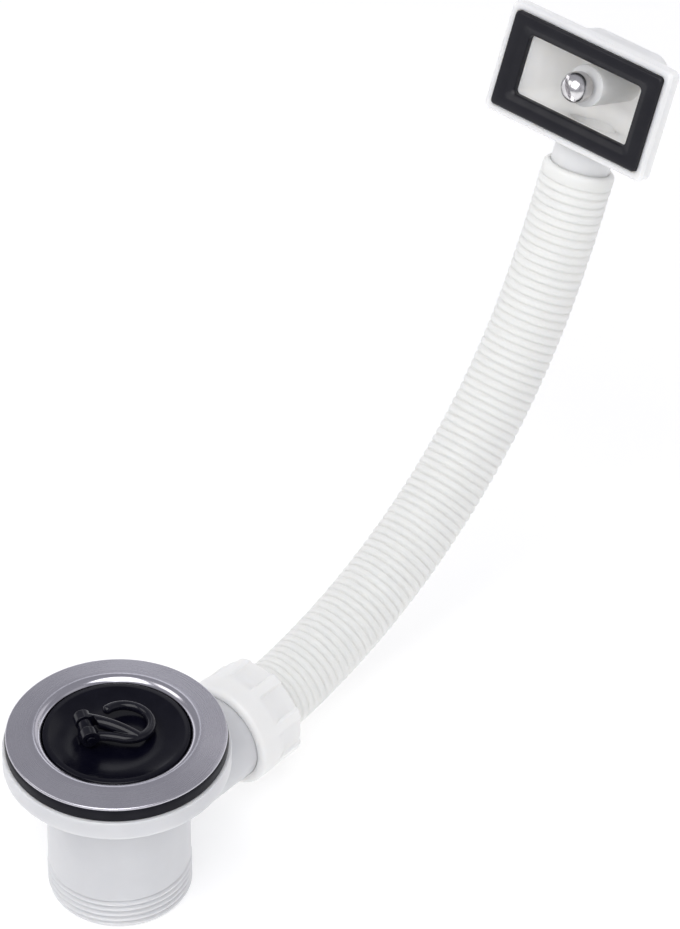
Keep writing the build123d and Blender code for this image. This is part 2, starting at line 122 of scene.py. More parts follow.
class Tone:
    """A shader socket that works in Python sums: an operator adds a Math node, and node() any other node."""

    def __init__(self, tree, socket):
        self.tree = tree
        self.socket = socket

    def node(self, kind, settings, sockets, output=0):
        """Adds a node: its settings come first, then a value or another Tone for each of its sockets."""
        made = self.tree.nodes.new(kind)
        for name, value in settings.items():
            setattr(made, name, value)
        for name, value in sockets.items():
            if isinstance(value, Tone):
                self.tree.links.new(value.socket, made.inputs[name])
            else:
                made.inputs[name].default_value = value
        return Tone(self.tree, made.outputs[output])

    def sum(self, operation, left, right=0.0):
        """Adds a Math node that works on one or two values or Tones."""
        return self.node("ShaderNodeMath", {"operation": operation}, {0: left, 1: right})

    def __add__(self, other):
        return self.sum("ADD", self, other)

    def __sub__(self, other):
        return self.sum("SUBTRACT", self, other)

    def __mul__(self, other):
        return self.sum("MULTIPLY", self, other)

    def __rsub__(self, other):
        return self.sum("SUBTRACT", other, self)

    __radd__ = __add__
    __rmul__ = __mul__

    def cloud(self, scale, detail, twist=0.0):
        """Soft noise over the surface, about one patch for each 1 / scale metres. A twist draws it out."""
        sockets = {"Vector": self, "Scale": scale, "Detail": detail, "Distortion": twist}
        return self.node("ShaderNodeTexNoise", {}, sockets)

    def between(self, low, high):
        """How far this value lies from low to high, from 0 to 1 with soft ends."""
        ends = {"Value": self, "From Min": low, "From Max": high}
        return self.node("ShaderNodeMapRange", {"interpolation_type": "SMOOTHSTEP"}, ends)

    def blend(self, colour, other):
        """A colour at 0 and another at 1."""
        sides = {0: self, 6: (*colour, 1.0), 7: (*other, 1.0)}
        return self.node("ShaderNodeMix", {"data_type": "RGBA"}, sides, 2)

    def relief(self, strength, depth):
        """A bump as high as this value times a depth in millimetres."""
        sockets = {"Height": self, "Strength": strength, "Distance": depth * mm}
        return self.node("ShaderNodeBump", {}, sockets)


def new_finish(name, **constants):
    """A material with one Principled shader. Returns it, its shader and its Object coordinates."""
    finish = bpy.data.materials.new(name)
    finish.use_nodes = True
    shader = finish.node_tree.nodes["Principled BSDF"]
    for socket, value in constants.items():
        shader.inputs[socket.replace("_", " ")].default_value = value
    place = finish.node_tree.nodes.new("ShaderNodeTexCoord")
    return finish, shader, Tone(finish.node_tree, place.outputs["Object"])


def feed(shader, **tones):
    """Links what varies over a surface to the shader's sockets."""
    for socket, tone in tones.items():
        tone.tree.links.new(tone.socket, shader.inputs[socket.replace("_", " ")])


def moulded_white(name, shade, light, gloss, clear, depth):
    """White moulding: broad flow marks in colour and gloss, over the fine grain of a spark-eroded mould.
    It is milky: clear is the share of light that goes in, and depth, in millimetres, how far it spreads."""
    finish, shader, place = new_finish(
        name, Subsurface_Weight=clear, Subsurface_Radius=(1.0, 0.96, 0.9), Subsurface_Scale=depth * mm
    )
    flow = place.cloud(45.0, 4.0)
    specks = place.cloud(900.0, 1.0).between(0.70, 0.80)
    grain = place.cloud(2600.0, 2.0) + 0.6 * flow
    feed(
        shader,
        Base_Color=(flow.between(0.3, 0.7) - 0.25 * specks).blend(shade, light),
        Roughness=gloss + 0.12 * flow + 0.08 * specks,
        Normal=grain.relief(0.25, 0.03),
    )
    return finish


collar_r, ledge_z, collar_foot = 37.2, -4.5, -11.5
skirt_r, hub_r, groove_z = 34.6, 29.65, -7.3
bowl_r, bowl_floor = 27.05, -9.6
flare_r, neck_r, neck_top = 24.9, 23.6, -22.0
thread_crest, thread_depth, thread_pitch, thread_top, thread_foot = 23.9, 1.05, 2.309, -51.3, -63.8
thread_end_r, thread_run_in, thread_run_out, flank_steep, flank_gap = 23.2, 1.6, 1.2, 2.6, 0.15
tail_foot, bore_r = -64.4, 20.6
port_z, port_r, port_end = -35.5, 15.6, 63.0
port_bore, socket_r, socket_x = 10.4, 12.68, 49.0
port_root, port_edge, socket_edge = 44.0, 0.5, 0.4
opening_turn, opening_half, bore_opening_half = np.radians(50.0), 15.8, 11.6
boss_r, boss_bore, boss_top, boss_foot = 6.4, 3.4, -11.4, -30.4
insert_r, insert_foot = 4.4, -25.4
rib_low, rib_high, rib_count = (29.0, -0.9, -10.9), (35.2, 0.9, -6.7), 12
arm_low, arm_high, arm_count = (5.6, -1.2, -24.0), (21.4, 1.2, -12.0), 4

side = np.linspace(-1.0, 1.0, 25)
around = np.concatenate([opening_turn * side, np.linspace(opening_turn, 2 * np.pi - opening_turn, 121)[1:]])
square = np.concatenate(
    [
        np.stack([1 + 0 * side, side], axis=-1)[:-1],
        np.stack([-side, 1 + 0 * side], axis=-1)[:-1],
        np.stack([-1 + 0 * side, -side], axis=-1)[:-1],
        np.stack([side, -1 + 0 * side], axis=-1),
    ]
)
round_hole = np.unwrap(np.arctan2(square[:, 1], square[:, 0]))


def neck_radius(height):
    """The tail's radius above its thread: it flares straight out towards the collar."""
    return np.interp(height, [neck_top, collar_foot], [neck_r, flare_r])


def opened_wall(wall, half, hole_r):
    """A tube's wall with a round side hole: each line runs from the hole's edge to a square round it."""
    hole = np.stack([hole_r * np.cos(round_hole), port_z + hole_r * np.sin(round_hole)], axis=-1)
    hole[:, 0] = np.arcsin(hole[:, 0] / wall(hole[:, 1]))
    edge = np.stack([opening_turn * square[:, 0], port_z + half * square[:, 1]], axis=-1)
    share = np.linspace(0.0, 1.0, 13)[:, None]
    angle, height = hole.T[:, None] * (1 - share) + edge.T[:, None] * share
    return np.stack([wall(height) * np.cos(angle), wall(height) * np.sin(angle), height], axis=-1)


def port_ring(reach, radius):
    """A ring of the side port, at a reach along X."""
    circle = [reach + 0 * round_hole, radius * np.cos(round_hole), port_z + radius * np.sin(round_hole)]
    return np.stack(circle, axis=-1)


def spun(flat, height, turn):
    """Flat points turned about Z, at their own heights: x cos t - y sin t, and x sin t + y cos t."""
    x, y = flat[..., 0], flat[..., 1]
    turned_x, turned_y = x * np.cos(turn) - y * np.sin(turn), x * np.sin(turn) + y * np.cos(turn)
    return np.stack([turned_x, turned_y, height], axis=-1)


def slab(low, high, turn):
    """A bar from a low to a high corner, closed by six flat sides, then turned about Z."""
    low, high = np.asarray(low, float), np.asarray(high, float)
    belt = np.array([[0, 0], [1, 0], [1, 1], [0, 1], [0, 0]], float)
    rows = [belt * 0 + 0.5, belt, belt, belt * 0 + 0.5]
    levels = [low[2], low[2], high[2], high[2]]
    flat = np.array([low[:2] + row * (high[:2] - low[:2]) for row in rows])
    height = np.broadcast_to(np.array(levels)[:, None], flat.shape[:2])
    return spun(flat, height, turn)


window_top = port_z + opening_half
collar = round_off(
    [
        (bore_r, bowl_floor),
        (bowl_r, bowl_floor),
        (bowl_r, ledge_z),
        (collar_r, ledge_z),
        (collar_r, collar_foot),
        (skirt_r, collar_foot),
        (skirt_r, groove_z),
        (hub_r, groove_z),
        (hub_r, collar_foot),
        (flare_r, collar_foot),
        (neck_radius(window_top), window_top),
    ],
    [0.8, 0.5, 0.4, 0.7, 0.5, 0.8, 0.8, 0.5, 1.5],
)
beside = around[around >= opening_turn - 1e-9]
neck_rows = port_z + opening_half * side
neck = np.stack([neck_radius(neck_rows), neck_rows], axis=-1)
bore_rows = port_z + bore_opening_half * side
bore = np.stack([bore_r + 0 * bore_rows, bore_rows], axis=-1)

thread_rows = np.linspace(thread_top, thread_foot, 91)[:, None]
turn_of_thread = (thread_rows / thread_pitch - around / (2 * np.pi)) % 1.0
flank = np.clip(flank_steep * np.abs(turn_of_thread - 0.5) - flank_gap, 0.0, 1.0)
thread_r = thread_crest - thread_depth * (1 - flank * flank * (3 - 2 * flank))
run_in = np.clip((thread_top - thread_rows) / thread_run_in, 0.0, 1.0)
run_out = np.clip((thread_rows - thread_foot) / thread_run_out, 0.0, 1.0)
thread_r = neck_r + (thread_r - neck_r) * run_in
thread_r = thread_end_r + (thread_r - thread_end_r) * run_out
thread = np.stack([thread_r * np.cos(around), thread_r * np.sin(around), thread_rows + 0 * around], axis=-1)

tail_end = round_off(
    [
        (thread_end_r, thread_foot),
        (thread_end_r - 0.5, tail_foot),
        (bore_r, tail_foot),
        (bore_r, bore_rows[0]),
    ],
    [0.3, 0.5],
)
bore_top = np.array([(bore_r, bore_rows[-1]), (bore_r, bowl_floor)])
outer_wall = opened_wall(neck_radius, opening_half, port_r)
inner_wall = opened_wall(lambda height: bore_r + 0 * height, bore_opening_half, port_bore)
port = np.stack(
    [
        outer_wall[0],
        port_ring(port_root, port_r),
        port_ring(port_end - port_edge, port_r),
        port_ring(port_end, port_r - port_edge),
        port_ring(port_end, socket_r + socket_edge),
        port_ring(port_end - socket_edge, socket_r),
        port_ring(socket_x, socket_r),
        port_ring(socket_x, port_bore),
        inner_wall[0],
    ]
)
clamp_boss = round_off(
    [
        (boss_bore, boss_top),
        (boss_r, boss_top),
        (boss_r, boss_foot),
        (boss_bore, boss_foot),
        (boss_bore, insert_foot),
        (insert_r, insert_foot),
        (insert_r, boss_top),
        (boss_bore, boss_top),
    ],
    [0.0, 0.5, 0.3, 0.0, 0.0, 0.0],
)
full_turn = np.linspace(0, 2 * np.pi, 97)
rib_turns = np.arange(rib_count) * 2 * np.pi / rib_count
arm_turns = (np.arange(arm_count) + 0.5) * 2 * np.pi / arm_count
ribs = [slab(rib_low, rib_high, turn) for turn in rib_turns]
arms = [slab(arm_low, arm_high, turn) for turn in arm_turns]
# Painted shade: this white is set darker than the nut's and the head's so that the body reads as shaded; its
# slight bluish tint is the moulding's own.
shaded_body_white = moulded_white("waste body white", (0.63, 0.635, 0.65), (0.67, 0.675, 0.69), 0.26, 0.8, 4.0)
make_piece(
    "waste_body_moulding",
    [
        turned(collar, around),
        turned(neck, beside),
        outer_wall,
        thread,
        turned(tail_end, around),
        turned(bore, beside),
        inner_wall,
        turned(bore_top, around),
        port,
        turned(clamp_boss, full_turn),
        *ribs,
        *arms,
    ],
    "waste_body",
    shaded_body_white,
)


# Clamp insert, port seal and slip washer: a brass bush, a rubber ring and a hard plastic ring.
# The boss and the nut close them in, and the solids already have their plain turned shapes.
def dress(node, finish):
    """Gives a carried-over solid its finish."""
    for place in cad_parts[node].material_slots:
        place.material = finish


def turned_brass(name):
    """Drawn brass bar: a fine random grain and a slight tarnish in patches."""
    finish, shader, place = new_finish(name, Metallic=1.0)
    tarnish = place.cloud(220.0, 4.0)
    grain = place.cloud(5200.0, 1.0)
    feed(
        shader,
        Base_Color=tarnish.between(0.35, 0.7).blend((0.72, 0.52, 0.24), (0.55, 0.37, 0.15)),
        Roughness=0.24 + 0.22 * tarnish,
        Normal=grain.relief(0.2, 0.02),
    )
    return finish


def black_rubber(name, dark, pale, gloss, shine=0.12):
    """Moulded rubber: a fine matt grain, with a faint pale bloom in patches."""
    finish, shader, place = new_finish(name, Specular_IOR_Level=shine)
    bloom = place.cloud(120.0, 5.0)
    grain = place.cloud(3200.0, 3.0)
    feed(
        shader,
        Base_Color=(bloom.between(0.35, 0.75) * 0.8 + 0.2 * grain).blend(dark, pale),
        Roughness=gloss + 0.16 * grain - 0.08 * bloom,
        Normal=(grain + 0.5 * bloom).relief(0.35, 0.04),
    )
    return finish


seal_black = black_rubber("port seal rubber", (0.014, 0.014, 0.016), (0.030, 0.030, 0.034), 0.55)
slip_white = moulded_white("slip washer white", (0.74, 0.74, 0.73), (0.82, 0.82, 0.80), 0.30, 0.5, 3.0)
insert_brass = turned_brass("insert brass")
dress("clamp_insert", insert_brass)
dress("port_seal", seal_black)
dress("slip_washer", slip_white)

# Flange washer: a flat black rubber ring between the bath's underside and the collar, squeezed a
# little so that its outer edge bulges between its two rounded corners.
washer_r, washer_bore, washer_thick = 36.3, 30.04, 4.5
washer_bulge, washer_corner = 0.35, 0.7
bulge = np.linspace(-1.0, 1.0, 9)
washer_edge = np.stack([washer_r - washer_bulge * bulge**4, washer_thick / 2 * (bulge - 1)], axis=-1)
washer_faces = [
    (washer_r - washer_corner, 0.0),
    (washer_bore, 0.0),
    (washer_bore, -washer_thick),
    (washer_r - washer_corner, -washer_thick),
]
washer_profile = np.concatenate([washer_edge, washer_faces, washer_edge[:1]])
fine_turn = np.linspace(0, 2 * np.pi, 193)
washer_black = black_rubber("flange washer rubber", (0.005, 0.005, 0.009), (0.010, 0.010, 0.015), 0.42)
make_piece(
    "flange_washer_ring",
    [turned(washer_profile, fine_turn)],
    "flange_washer",
    washer_black,
)


# Waste flange: 0.8 mm stainless sheet, pressed to a domed rim, a mouth that seats the plug, and a
# dish whose flat floor has eight strainer holes round a well for the clamp screw. Satin polished
# on a lathe, so its fine scratches run round the axis.
def satin_steel(name):
    """Lathe-polished sheet: long fine scratches that follow the angle round Z and change with the radius.
    The mouth and the dish are polished brighter than the satin rim."""
    finish, shader, place = new_finish(name, Metallic=1.0)
    axes = place.node("ShaderNodeSeparateXYZ", {}, {0: place})
    x, y, z = [Tone(axes.tree, output) for output in axes.socket.node.outputs]
    squares = x * x + y * y
    radius = squares.sum("SQRT", squares)
    angle = x.sum("ARCTAN2", y, x)
    lay = {0: radius * scratches_out, 1: angle * scratches_round, 2: z * scratches_out}
    scratches = place.node("ShaderNodeCombineXYZ", {}, lay).cloud(1.0, 3.0)
    smear = place.cloud(70.0, 3.0)
    wear = (0.5 * scratches + 0.5 * smear).between(0.3, 0.7)
    satin = radius.between(polish_end * mm, satin_start * mm)
    feed(
        shader,
        Base_Color=wear.blend((0.53, 0.52, 0.57), (0.57, 0.56, 0.61)),
        Roughness=0.13 + 0.10 * satin + 0.05 * scratches + 0.04 * smear,
        Normal=scratches.relief(0.034, 0.01),
    )
    return finish


scratches_out, scratches_round = 9000.0, 3.0
polish_end, satin_start = 26.2, 29.5
sheet = 0.8
rim_r, seat_r, mouth_rise = 35.9, 25.05, 1.75
dish_foot_r, dish_z = 24.35, -9.2
well_r, well_foot_r, well_z = 7.6, 6.7, -11.0
well_over_r, well_over_foot_r, well_hole_r = 7.0, 6.2, 3.4
hole_r, hole_pitch_r, holes = 3.6, 15.58, 8
floor_in, floor_out, cell_rows = 9.6, 21.2, 7


def sheet_side(profile):
    """The other side of a pressed sheet: the profile moved by the sheet's thickness, square to itself."""
    along = np.gradient(profile, axis=0)
    along /= np.linalg.norm(along, axis=1)[:, None]
    return profile + sheet * np.stack([along[:, 1], -along[:, 0]], axis=-1)


rim_under = round_off(
    [(rim_r, 0.0), (seat_r, mouth_rise), (dish_foot_r, dish_z), (floor_out, dish_z)], [2.2, 2.4], 14
)
rim_under = np.concatenate([np.linspace(rim_under[0], rim_under[1], 9)[:-1], rim_under[1:]])
rim_over = sheet_side(rim_under)
rim_over[-1] = (floor_out, dish_z + sheet)
outer_edge = round_off(
    [rim_over[1], rim_over[0] + (0.06, 0.0), rim_under[0] + (0.06, 0.06), rim_under[0]], [0.55, 0.1], 6
)
rim_profile = np.concatenate([rim_over[:0:-1], outer_edge[1:], rim_under[1:]])
well_under = round_off(
    [(floor_in, dish_z), (well_r, dish_z), (well_foot_r, well_z), (well_hole_r, well_z)], [0.8, 1.2], 6
)
well_over = round_off(
    [
        (well_hole_r, well_z + sheet),
        (well_over_foot_r, well_z + sheet),
        (well_over_r, dish_z + sheet),
        (floor_in, dish_z + sheet),
    ],
    [0.4, 1.4],
    6,
)
well_profile = np.concatenate([well_under, well_over])

# The strainer's floor has a share for each hole. Both its faces run from the share's edge to the
# hole, and meet in it.
cell_r = (floor_in + floor_out) / 2 + (floor_out - floor_in) / 2 * square[:, 0]
cell_angle = np.pi / holes * square[:, 1]
cell_edge = np.stack([cell_r * np.cos(cell_angle), cell_r * np.sin(cell_angle)], axis=-1)
cell_hole = np.stack([hole_pitch_r + hole_r * np.cos(round_hole), hole_r * np.sin(round_hole)], axis=-1)
cell_share = np.linspace(0.0, 1.0, cell_rows)[:, None, None]
cell_flat = cell_edge * (1 - cell_share) + cell_hole * cell_share
cell_flat = np.concatenate([cell_flat, cell_flat[::-1]])
cell_height = np.repeat([dish_z + sheet, dish_z], cell_rows)[:, None] + 0 * cell_flat[..., 0]
strainer = [spun(cell_flat, cell_height, turn) for turn in np.arange(holes) * 2 * np.pi / holes]

flange_turn = np.pi / holes + np.linspace(0, 2 * np.pi, 24 * holes + 1)
flange_steel = satin_steel("flange satin steel")
make_piece(
    "waste_flange_pressing",
    [turned(rim_profile, flange_turn), turned(well_profile, flange_turn), *strainer],
    "waste_flange",
    flange_steel,
    crease=40,
)


# Clamp screw: a stainless machine screw with a domed, slotted head. It stands in the strainer's
# well and pulls the flange down on the bath through the brass insert.
def bright_metal(name, colour, dull, gloss):
    """Machined or plated metal: a bright skin with fine random scratches, dull where it was handled."""
    finish, shader, place = new_finish(name, Metallic=1.0)
    touched = place.cloud(260.0, 4.0)
    scratches = place.cloud(2400.0, 4.0, 2.0)
    feed(
        shader,
        Base_Color=touched.between(0.4, 0.75).blend(colour, dull),
        Roughness=gloss + 0.10 * touched.between(0.45, 0.8) + 0.05 * scratches,
        Normal=scratches.relief(0.08, 0.015),
    )
    return finish


def slotted_screw(head_r, head_height, slot, slot_depth, shank_r, length, pitch):
    """A screw standing on z = 0. The head is a dome over chords across the slot, whose rows drop to the
    slot's floor between its walls. The shank hangs from the head's own angles, and its radius follows a
    thread's helix."""
    edge = 0.35 * head_height
    wall = slot / 2
    cheek = -head_r * np.sin(np.linspace(np.pi / 2, np.arcsin(wall / head_r), 17))
    rows = np.concatenate([cheek, np.linspace(-wall, wall, 5), -cheek[::-1]])
    in_slot = np.zeros(len(rows), bool)
    in_slot[len(cheek) : -len(cheek)] = True
    chord = np.sqrt(np.clip(head_r**2 - rows**2, 0.0, None))[:, None]
    along = chord * np.sin(np.linspace(-np.pi / 2, np.pi / 2, 33))
    across = rows[:, None] + 0 * along
    fall = (along**2 + across**2) / head_r**2
    dome = edge + (head_height - edge) * np.sqrt(np.clip(1 - fall, 0.0, None)) ** 1.15
    floor = np.where(in_slot[:, None], np.minimum(dome, head_height - slot_depth), dome)
    top = np.stack([along, across, floor], axis=-1)
    rim = np.concatenate([top[:, 0], top[::-1, -1], top[:1, 0]])
    foot = rim * (1.0, 1.0, 0.0)
    heights = np.linspace(0.0, -length, int(rows_a_pitch * length / pitch))[:, None]
    bend = np.unwrap(np.arctan2(rim[:, 1], rim[:, 0]))
    phase = np.abs((heights / pitch - bend / (2 * np.pi)) % 1.0 - 0.5) * 2
    cut = np.clip(-heights - plain_shank, 0.0, 1.0)
    point = np.clip((heights + length) / (0.4 * shank_r), 0.0, 1.0)
    radius = shank_r - screw_cut * pitch * phase * cut - 0.3 * shank_r * (1 - point)
    shank = np.stack([radius * np.cos(bend), radius * np.sin(bend), heights + 0 * bend], axis=-1)
    tip = shank[-1:] * (0.0, 0.0, 1.0)
    return [top, np.concatenate([[rim, foot], shank, tip])]


def set_up(sheets, origin, across, out):
    """Moves sheets from their own axes to a place: x along a direction, z along another square to it."""
    across, out = np.asarray(across, float), np.asarray(out, float)
    axes = np.stack([across, np.cross(out, across), out])
    return [np.asarray(origin) + sheet @ axes for sheet in sheets]


rows_a_pitch, plain_shank, screw_cut = 14, 0.8, 0.33
plug_turn = np.radians(-32.0)
plug_along = np.array([np.cos(plug_turn), np.sin(plug_turn), 0.0])
up = np.array([0.0, 0.0, 1.0])
clamp_steel = bright_metal("clamp screw steel", (0.62, 0.61, 0.60), (0.48, 0.47, 0.46), 0.22)
make_piece(
    "clamp_screw_turned",
    set_up(slotted_screw(5.6, 2.8, 1.4, 1.3, 3.0, 23.0, 1.0), (0.0, 0.0, well_z + sheet), plug_along, up),
    "clamp_screw",
    clamp_steel,
)


# Plug: black moulded plastic, dished on top, hollow below and tapered to its seat. A lug near one
# side of the dish carries two short trunnions for the lifting hook.
def moulded_black(name, dark, pale, gloss, shine):
    """Black moulding: satin skin with soft flow marks, fine grain, and a few paler rub marks."""
    finish, shader, place = new_finish(name, Specular_IOR_Level=shine)
    flow = place.cloud(160.0, 3.0)
    grain = place.cloud(2400.0, 2.0)
    rubs = place.cloud(420.0, 5.0, 1.5)
    feed(
        shader,
        Base_Color=(flow.between(0.3, 0.75) * 0.6 + 0.4 * rubs.between(0.55, 0.75)).blend(dark, pale),
        Roughness=gloss + 0.06 * flow + 0.04 * grain,
        Normal=(grain + 0.4 * flow).relief(0.10, 0.02),
    )
    return finish


plug_r, plug_top, plug_foot, plug_lip = 24.0, 0.95, -7.25, -0.25
plug_taper, plug_wall, plug_floor_z = 1.0, 3.2, -3.0
dish_flat_r, dish_edge_r, dish_floor = 13.0, 22.1, -0.6
bowl_fall = plug_top - dish_floor
bowl_run = dish_edge_r - dish_flat_r
bowl_bend = (bowl_run**2 + bowl_fall**2) / (2 * bowl_fall)
bowl_r_run = np.linspace(dish_flat_r, dish_edge_r, 25)
bowl_rise = bowl_bend - np.sqrt(bowl_bend**2 - (bowl_r_run - dish_flat_r) ** 2)
bowl = np.stack([bowl_r_run, dish_floor + bowl_rise], axis=-1)
plug_rim = round_off(
    [
        bowl[-2],
        (dish_edge_r, plug_top),
        (plug_r, plug_top),
        (plug_r, plug_lip),
        (plug_r - plug_taper, plug_foot),
        (plug_r - plug_wall, plug_foot),
        (plug_r - plug_wall, plug_floor_z),
        (0.0, plug_floor_z),
    ],
    [0.25, 0.6, 0.2, 0.3, 0.3, 1.0],
)
plug_profile = np.concatenate([[(0.0, dish_floor), (6.0, dish_floor)], bowl[:-2], plug_rim])

pivot = np.array([-7.696, 5.988, 4.4])
pivot_along = np.array([-plug_along[1], plug_along[0], 0.0])
lug_r, lug_half, lug_edge, lug_root = 2.5, 1.9, 0.35, 1.0
trunnion_r, trunnion_half, trunnion_edge = 1.5, 6.6, 0.35
lug_drop = pivot[2] - dish_floor + lug_root
lug_bend = np.linspace(0.0, np.pi, 33)
lug_flare = np.array([(0.7, 0.0), (0.65, 1.05), (0.25, 1.5), (0.05, 2.2)]) + (lug_r, -lug_drop)
lug_outline = np.concatenate(
    [
        lug_flare,
        lug_r * np.stack([np.cos(lug_bend), np.sin(lug_bend)], axis=-1),
        lug_flare[::-1] * (-1, 1),
        lug_flare[:1],
    ]
)


def pressed_bar(shape, half, edge):
    """A flat outline carried along its axis from -half to half, with its two ends rounded over and closed."""
    turn = np.linspace(0.0, np.pi / 2, 5)
    inset = edge * (1 - np.sin(turn))
    reach = half - edge + edge * np.cos(turn)
    centre = np.array([0.0, shape[:, 1].mean()])
    spread = np.linalg.norm(shape - centre, axis=1)[:, None]
    rows = [np.broadcast_to(centre, shape.shape)]
    rows += [centre + (shape - centre) * (1 - step / spread) for step in inset]
    levels = np.concatenate([[half], reach])
    levels = np.concatenate([levels, -levels[::-1]])[:, None]
    flat = np.array(rows + rows[::-1])
    return np.stack([flat[..., 0], levels + 0 * flat[..., 0], flat[..., 1]], axis=-1)


lug = pressed_bar(lug_outline, lug_half, lug_edge)
trunnion = round_off(
    [(0.0, trunnion_half), (trunnion_r, trunnion_half), (trunnion_r, -trunnion_half), (0.0, -trunnion_half)],
    [trunnion_edge, trunnion_edge],
)
plug_axes = np.stack([plug_along, pivot_along, up])
plug_black = moulded_black("plug black", (0.002, 0.002, 0.006), (0.005, 0.005, 0.010), 0.13, 0.18)
make_piece(
    "plug_moulding",
    [
        turned(plug_profile, fine_turn),
        pivot + lug @ plug_axes,
        *set_up([turned(trunnion, np.linspace(0, 2 * np.pi, 49))], pivot, plug_along, pivot_along),
    ],
    "plug",
    plug_black,
)

# Lifting hook: black moulded plastic, an open ring on a fork whose two eyes snap on the plug's
# trunnions. Its joints are blended as a mould leaves them, so the solid's own form is re-skinned
# finely and then smoothed.
skin_fine, smoothings = 0.14, 4
hook_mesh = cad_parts["lifting_hook"].data.copy()
hook_mesh.name = "lifting_hook_skin"
hook_merge = bmesh.new()
hook_merge.from_mesh(hook_mesh)
bmesh.ops.remove_doubles(hook_merge, verts=hook_merge.verts, dist=weld)
hook_merge.to_mesh(hook_mesh)
hook_merge.free()
hook = bpy.data.objects.new("lifting_hook_skin", hook_mesh)
bpy.context.collection.objects.link(hook)
skin = hook.modifiers.new("skin", "REMESH")
skin.mode = "VOXEL"
skin.voxel_size = skin_fine * mm
soften = hook.modifiers.new("soften", "SMOOTH")
soften.factor = 0.5
soften.iterations = smoothings
seen = hook.evaluated_get(bpy.context.evaluated_depsgraph_get())
hook.data = bpy.data.meshes.new_from_object(seen)
hook.modifiers.clear()
hook.data.shade_smooth()
hook.data.materials.clear()
hook_black = moulded_black("hook black", (0.003, 0.003, 0.007), (0.007, 0.007, 0.013), 0.11, 0.31)
hook.data.materials.append(hook_black)
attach(hook, "hook")
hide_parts("lifting_hook")

# Port nut: white moulded plastic, screwed on the side port to squeeze the seal round the hose. It
# has a plain collar on the waste's side, and eight low grip lugs on the hose's.
nut_start, nut_end, nut_long, nut_r, nut_grip_r = 50.7, 71.2, 20.5, 18.88, 17.98
nut_bore, nut_mouth, nut_floor, nut_collar, nut_ramp = 15.68, 13.0, 3.0, 7.4, 4.0
nut_lugs, lug_wide, lug_slope, nut_round, nut_gap = 8, 4.2, 0.8, 1.8, 0.4
nut_turn = np.linspace(0, 2 * np.pi, 385)
nut_step = np.concatenate(
    [
        np.linspace(0.0, nut_round, 10),
        np.linspace(nut_round + nut_gap, nut_long - nut_round - nut_gap, 40),
        np.linspace(nut_long - nut_round, nut_long, 10),
    ]
)[:, None]
lug_place = (nut_turn / (2 * np.pi) * nut_lugs) % 1.0 - 0.5
lug_aside = np.abs(lug_place) * 2 * np.pi / nut_lugs * nut_r
lug_face = np.clip((lug_wide / 2 + lug_slope / 2 - lug_aside) / lug_slope, 0.0, 1.0)
collar_face = np.clip((nut_collar + nut_ramp - nut_step) / nut_ramp, 0.0, 1.0)
rise = np.maximum(collar_face, lug_face + 0 * nut_step)
edge_near = np.clip(nut_round - np.minimum(nut_step, nut_long - nut_step), 0.0, None)
edge_fall = nut_round - np.sqrt(nut_round**2 - edge_near**2)
nut_skin = nut_grip_r + (nut_r - nut_grip_r) * rise * rise * (3 - 2 * rise) - edge_fall
nut_reach = nut_start + nut_step
nut_inside = [
    (nut_end, nut_grip_r - 1.9),
    (nut_end, nut_mouth + 0.5),
    (nut_end - 0.5, nut_mouth),
    (nut_end - nut_floor, nut_mouth),
    (nut_end - nut_floor, nut_bore),
    (nut_start + 0.2, nut_bore),
    (nut_start, nut_bore + 0.2),
    (nut_start, nut_r - nut_round),
]


def nut_ring(reach, radius):
    """A ring of the nut: a circle, or a line of changing radius, round the port's axis at a reach along X."""
    reach, radius = np.broadcast_arrays(reach, radius + 0 * nut_turn)
    return np.stack([reach, radius * np.cos(nut_turn), port_z + radius * np.sin(nut_turn)], axis=-1)


nut_sheet = np.concatenate(
    [nut_ring(nut_reach, nut_skin), np.stack([nut_ring(reach, radius) for reach, radius in nut_inside])]
)
nut_white = moulded_white("port nut white", (0.86, 0.855, 0.835), (0.89, 0.885, 0.865), 0.28, 0.8, 4.0)
make_piece("port_nut_moulding", [nut_sheet], "port_nut", nut_white, crease=38)

# Overflow hose: blown white polythene, translucent. It is plain inside the port's seal and at the
# cuff that grips the spigot, and ringed between them with shallow, round corrugations.
hose_knots = np.array([0.0, 23.0, 36.265, 198.186, 233.571, 247.571])
hose_headings = np.radians([0.0, 0.0, 9.5, 61.3, 67.5, 67.5])
hose_start, hose_r, hose_bore = np.array([49.0, port_z]), 12.6, 10.4
ring_from, ring_to, rings, ring_depth = 22.6, 242.571, 73, 0.5
ring_steps, ring_steep, bore_play = 12, 1.7, 0.06


def hose_line(along):
    """The hose's middle line and heading: the heading rises evenly through each bend, and the place is the
    sum of the steps along it."""
    fine = np.linspace(0.0, hose_knots[-1], 8001)
    heading = np.interp(fine, hose_knots, hose_headings)
    step = np.stack([np.cos(heading), np.sin(heading)])
    path = np.cumsum((step[:, 1:] + step[:, :-1]) / 2 * np.diff(fine), axis=1)
    path = hose_start[:, None] + np.concatenate([np.zeros((2, 1)), path], axis=1)
    place = np.array([np.interp(along, fine, line) for line in path])
    return place, np.interp(along, hose_knots, hose_headings)


def hose_skin(along, radius, bend):
    """A tube round the hose's line: each ring lies square to the heading, with its own radius."""
    (x, z), heading = hose_line(along)
    out = radius[:, None] * np.cos(bend)
    aside = radius[:, None] * np.sin(bend)
    x, z, heading = x[:, None], z[:, None], heading[:, None]
    return np.stack([x - out * np.sin(heading), aside, z + out * np.cos(heading)], axis=-1)


